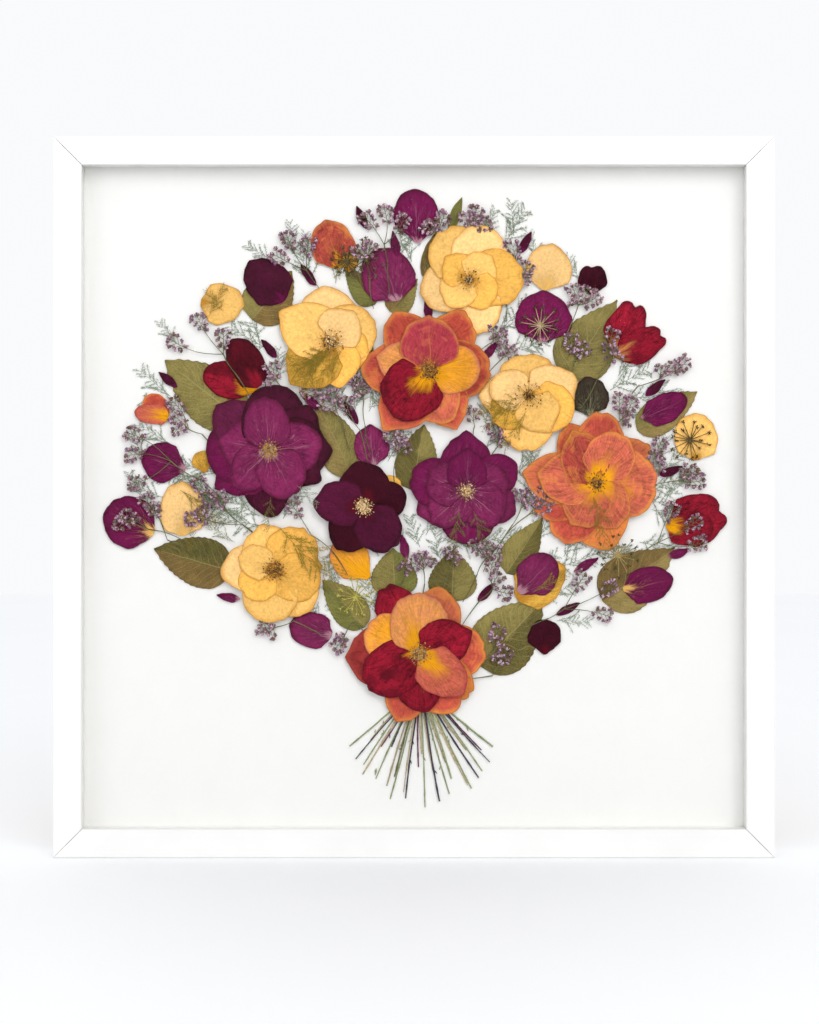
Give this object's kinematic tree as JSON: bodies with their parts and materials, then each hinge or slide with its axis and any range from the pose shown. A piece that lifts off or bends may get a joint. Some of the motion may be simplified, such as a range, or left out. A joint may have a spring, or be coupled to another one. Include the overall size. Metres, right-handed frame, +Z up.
{
  "type": "pressed flower frame",
  "caption": "Square white box frame, glazed, holding a flat bouquet of pressed flowers, loose petals, leaves and sprigs on a white board above a fan of cut stems.",
  "frame": {"origin": "middle of the bottom edge, half way through the depth of the frame with its back fittings", "axes": "+Z up along the frame, +Y out of its back towards the wall, so the glass faces -Y; +X to the right as seen from the front"},
  "size_m": [0.6, 0.0402, 0.6],
  "materials": {
    "white_lacquer": "satin white lacquer on wood",
    "glass": "clear picture glass",
    "white_card": "matt white card strip",
    "white_board": "matt smooth white board",
    "backing_board": "plain fibreboard",
    "kraft_paper": "brown kraft paper",
    "hanger_steel": "zinc-plated steel",
    "bumper_rubber": "matt soft rubber",
    "cream_petal": "dry pressed petal, matt",
    "orange_petal": "dry pressed petal, matt",
    "crimson_petal": "dry pressed petal, matt",
    "plum_petal": "dry pressed petal, matt",
    "burgundy_petal": "dry pressed petal, matt",
    "olive_leaf": "dry pressed leaf, matt",
    "brown_leaf": "dry pressed leaf, matt",
    "sea_lavender": "dry florets on thin stems",
    "dry_stem": "dry straw-green stems"
  },
  "bodies": {
    "root": {"backing_board": "backing_board", "bumper_left": "bumper_rubber", "bumper_right": "bumper_rubber", "dust_cover": "kraft_paper", "flower_burgundy": "burgundy_petal", "flower_cream_lower_left": "cream_petal", "flower_cream_right": "cream_petal", "flower_cream_top": "cream_petal", "flower_cream_upper_left": "cream_petal", "flower_orange_right": "orange_petal", "flower_orange_top": "orange_petal", "flower_plum_left": "plum_petal", "flower_plum_right": "plum_petal", "flower_red_bottom": "orange_petal", "glass": "glass", "hanger_nail_left": "hanger_steel", "hanger_nail_right": "hanger_steel", "hanger_plate": "hanger_steel", "leaf_bottom": "olive_leaf", "leaf_brown_left": "brown_leaf", "leaf_brown_right": "brown_leaf", "leaf_centre": "olive_leaf", "leaf_centre_left": "olive_leaf", "leaf_centre_right": "olive_leaf", "leaf_far_right": "brown_leaf", "leaf_heart": "olive_leaf", "leaf_round": "olive_leaf", "leaf_top_left": "olive_leaf", "leaf_upper_left": "olive_leaf", "leaf_upper_right": "olive_leaf", "mount_board": "white_board", "petal_cream_left": "cream_petal", "petal_cream_lower_left": "cream_petal", "petal_cream_top_right": "cream_petal", "petal_crimson_far_right": "crimson_petal", "petal_crimson_left": "crimson_petal", "petal_crimson_upper_right": "crimson_petal", "petal_dark_plum": "plum_petal", "petal_plum_far_left": "plum_petal", "petal_plum_left": "plum_petal", "petal_plum_lower_right": "plum_petal", "petal_plum_top": "plum_petal", "petal_plum_upper": "plum_petal", "petal_plum_upper_right": "plum_petal", "petal_red_top_left": "orange_petal", "rail_bottom": "white_lacquer", "rail_left": "white_lacquer", "rail_right": "white_lacquer", "rail_top": "white_lacquer", "sea_lavender_far_left": "sea_lavender", "sea_lavender_far_right": "sea_lavender", "sea_lavender_left": "sea_lavender", "sea_lavender_lower_right": "sea_lavender", "sea_lavender_top": "sea_lavender", "sea_lavender_top_left": "sea_lavender", "spacer_bottom": "white_card", "spacer_left": "white_card", "spacer_right": "white_card", "spacer_top": "white_card", "stems": "dry_stem"}
  },
  "joints": []
}
